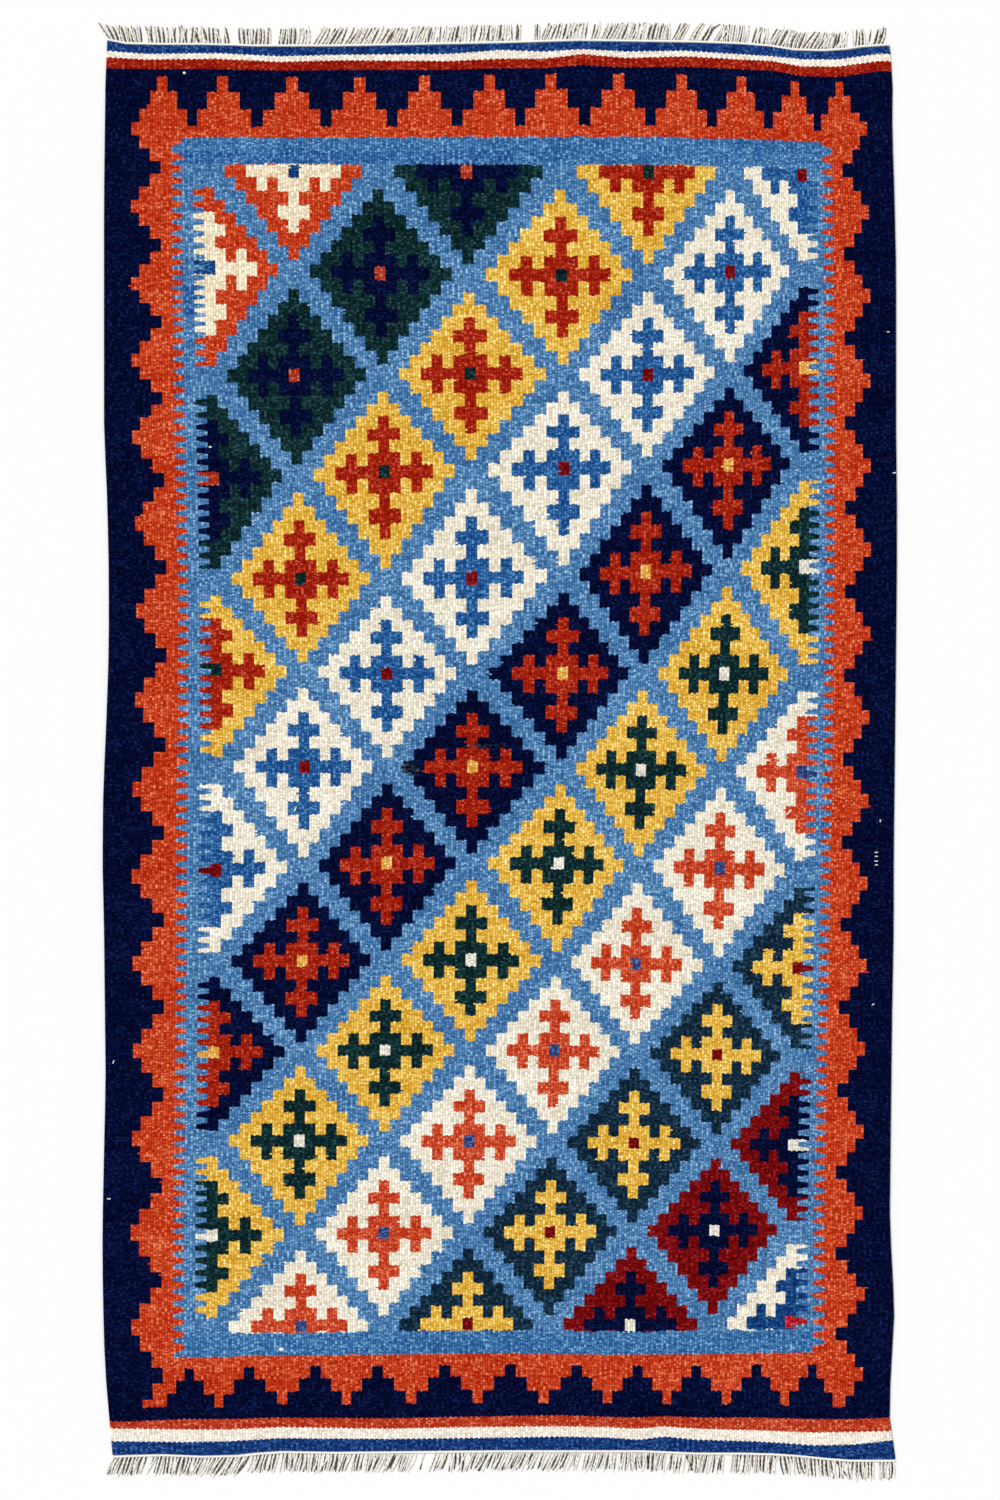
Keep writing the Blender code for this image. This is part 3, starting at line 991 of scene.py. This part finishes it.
def fringe(kind, yarn):
    """One end's fringe of warp ends of one kind: the pale ones, or the brown ones between them."""
    play = random.Random(kind.seed)
    own_play = random.Random(kind.seed + 100 + (yarn is BROWN_YARN))
    tufts = [0.0]
    while tufts[-1] < 1:
        tufts.append(tufts[-1] + play.uniform(*TUFT_WIDTHS))
    shares = [row.share for row in LEANS]
    slopes = [getattr(row, kind.end) for row in LEANS]
    tuft_leans = [play.uniform(-TUFT_PLAY, TUFT_PLAY) for _ in tufts]
    aside = [play.uniform(-END_PLAY, END_PLAY) for _ in range(PALE_ENDS + 1)]
    bare = [(place.across, place.wide / 2) for place in BARE_PLACES if place.end == kind.end]
    runs = []
    for number in range(PALE_ENDS):
        if yarn is BROWN_YARN:
            share, own_lean = (number + 1) / (PALE_ENDS + 1), (aside[number] + aside[number + 1]) / 2
        else:
            share, own_lean = (number + 0.5) / PALE_ENDS, aside[number]
        root = end_line(kind.end, share)
        root.y += kind.way * (CORD_GAP + CORD_WIDTH / 2)
        length = (kind.length - own_play.uniform(0.0, LENGTH_PLAY)) * own_play.uniform(*yarn.lengths)
        # The ends of a tuft lean one way, and their tips lie a little closer together than the roots.
        tuft = next(place for place, start in enumerate(tufts[1:]) if share < start)
        lean = float(np.interp(share, shares, slopes)) + own_play.uniform(-LEAN_PLAY, LEAN_PLAY)
        stray = own_play.uniform(-STRAY_LEAN, STRAY_LEAN) * (own_play.random() < STRAYS)
        lean += own_lean + tuft_leans[tuft] + stray
        gather = ((tufts[tuft] + tufts[tuft + 1]) / 2 - share) * 2 * HALF_WIDTH * GATHER
        tip = root + Vector((lean * length + gather, kind.way * (length + CORD_WIDTH / 2), 0.0))
        plies = warp_end(own_play, yarn, root, tip, own_play.uniform(-BOW_PLAY, BOW_PLAY))
        if not any(abs((root.x - TO_FRAME.x) / MM - across) < reach for across, reach in bare):
            runs += plies
    return yarn_piece(kind.node.replace("fringe", yarn.name), runs, yarn.radius)


def undyed_yarn(name, dark, pale, shaded):
    """Two-ply yarn of undyed wool and goat hair: browner in places than in others, matt and a little
    fuzzy, so that it shows no highlight."""
    made, add = new_material(name)
    place = add("TexCoord", give="Object")
    # A new shade every 2.4 mm across, and every 33 mm along the yarn
    own = add("VectorMath MULTIPLY", place, (420.0, 30.0, 0.0))
    own = add("TexNoise", own, None, 1.0, 2.0, 0.5)
    own = add("MapRange", own, 0.42, 0.54, 0.0, 1.0)
    colour = add("Mix", own, dark, pale, data_type="RGBA")
    # Painted shade: what lies low between the ends is darkened, standing for the shadow there.
    low = add("SeparateXYZ", place, give="Z")
    low = add("MapRange", low, 0.3 * MM, 1.6 * MM, shaded, 1.04)
    colour = add("HueSaturation", 0.5, 1.0, low, 1.0, colour)
    fibres = add("VectorMath MULTIPLY", place, (1.0, 0.25, 1.0))
    fibres = add("TexNoise", fibres, None, 2200.0, 3.0, 0.7)
    strength = add("MapRange", fibres, 0.3, 0.7, 0.90, 1.05)
    colour = add("HueSaturation", 0.5, 1.0, strength, 1.0, colour)
    bump = add("Bump", 0.5, 0.2 * MM, None, fibres)
    matt = {"Roughness": 0.88, "Specular IOR Level": 0.15, "Sheen Weight": 0.1}
    return surface(made, {"Base Color": colour, "Normal": bump, **matt})


# ---------------------------------------------------------------- the floor, the light and the camera

CAMERA_LENS = 85.0
VIEW_HEIGHT = 1905.0 * MM  # how much floor the picture's long side shows


def pale_floor():
    """A smooth painted floor, near white and matt, with the faintest mottling of its roller."""
    bpy.ops.object.select_all(action="DESELECT")
    bpy.ops.mesh.primitive_plane_add(size=24.0, location=(0.0, 0.0, 0.0))
    floor = bpy.context.active_object
    floor.name = "floor"
    made, add = new_material("matt white floor paint")
    mottle = add("TexNoise", add("TexCoord", give="Object"), None, 40.0, 3.0, 0.5)
    colour = add("Mix", mottle, "#fbfbfb", "#fdfdfd", data_type="RGBA")
    surface(made, {"Base Color": colour, "Roughness": 0.9, "Specular IOR Level": 0.0})
    floor.data.materials.append(made)


def light_the_room():
    """Even light from all round, and one large soft lamp from the upper left."""
    world = bpy.data.worlds.new("room")
    bpy.context.scene.world = world
    world.use_nodes = True
    background = world.node_tree.nodes["Background"]
    background.inputs["Color"].default_value = (1.0, 1.0, 1.0, 1.0)
    background.inputs["Strength"].default_value = 0.60
    lamp = bpy.data.lights.new("soft lamp", "SUN")
    lamp.angle = math.radians(28)
    lamp.energy = 1.72
    holder = bpy.data.objects.new("soft lamp", lamp)
    bpy.context.scene.collection.objects.link(holder)
    towards = Vector((0.62, -0.55, -1.0))
    holder.rotation_euler = towards.to_track_quat("-Z", "Y").to_euler()
    holder.location = (-1.5, 1.5, 2.5)


def look_down():
    """The camera stands straight above, over the middle of the photograph."""
    lens = bpy.data.cameras.new("camera")
    lens.lens = CAMERA_LENS
    camera = bpy.data.objects.new("camera", lens)
    bpy.context.scene.collection.objects.link(camera)
    distance = VIEW_HEIGHT * CAMERA_LENS / lens.sensor_width
    camera.location = (TO_FRAME.x, TO_FRAME.y, distance + CLOTH_THICK)
    bpy.context.scene.camera = camera
    bpy.context.scene.view_settings.view_transform = "Standard"


# ---------------------------------------------------------------- making the rug

look_down()
light_the_room()
pale_floor()

cloth = weave_cloth()
cloth.data.materials.append(weft_faced_wool())
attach(cloth, "root")
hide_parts("flatweave")

warp_yarn = undyed_yarn("undyed two-ply warp yarn", "#f3ebdb", "#fffdf6", 0.76)
cord_yarn = undyed_yarn("bleached twine", "#fcf9f0", "#fffefa", 1.0)
for kind in FRINGES:
    # Painted shade: the brown ends' colour is darker at the bottom end, though the yarn is the same
    brown_yarn_and_shade = undyed_yarn(f"brown goat hair at the {kind.end}", kind.brown, "#6b5e4a", 0.8)
    made = (
        (twined_cord(kind), cord_yarn),
        (fringe(kind, PALE_YARN), warp_yarn),
        (fringe(kind, BROWN_YARN), brown_yarn_and_shade),
    )
    for piece, yarn in made:
        piece.data.materials.append(yarn)
        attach(piece, "root")
        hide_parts(kind.node)
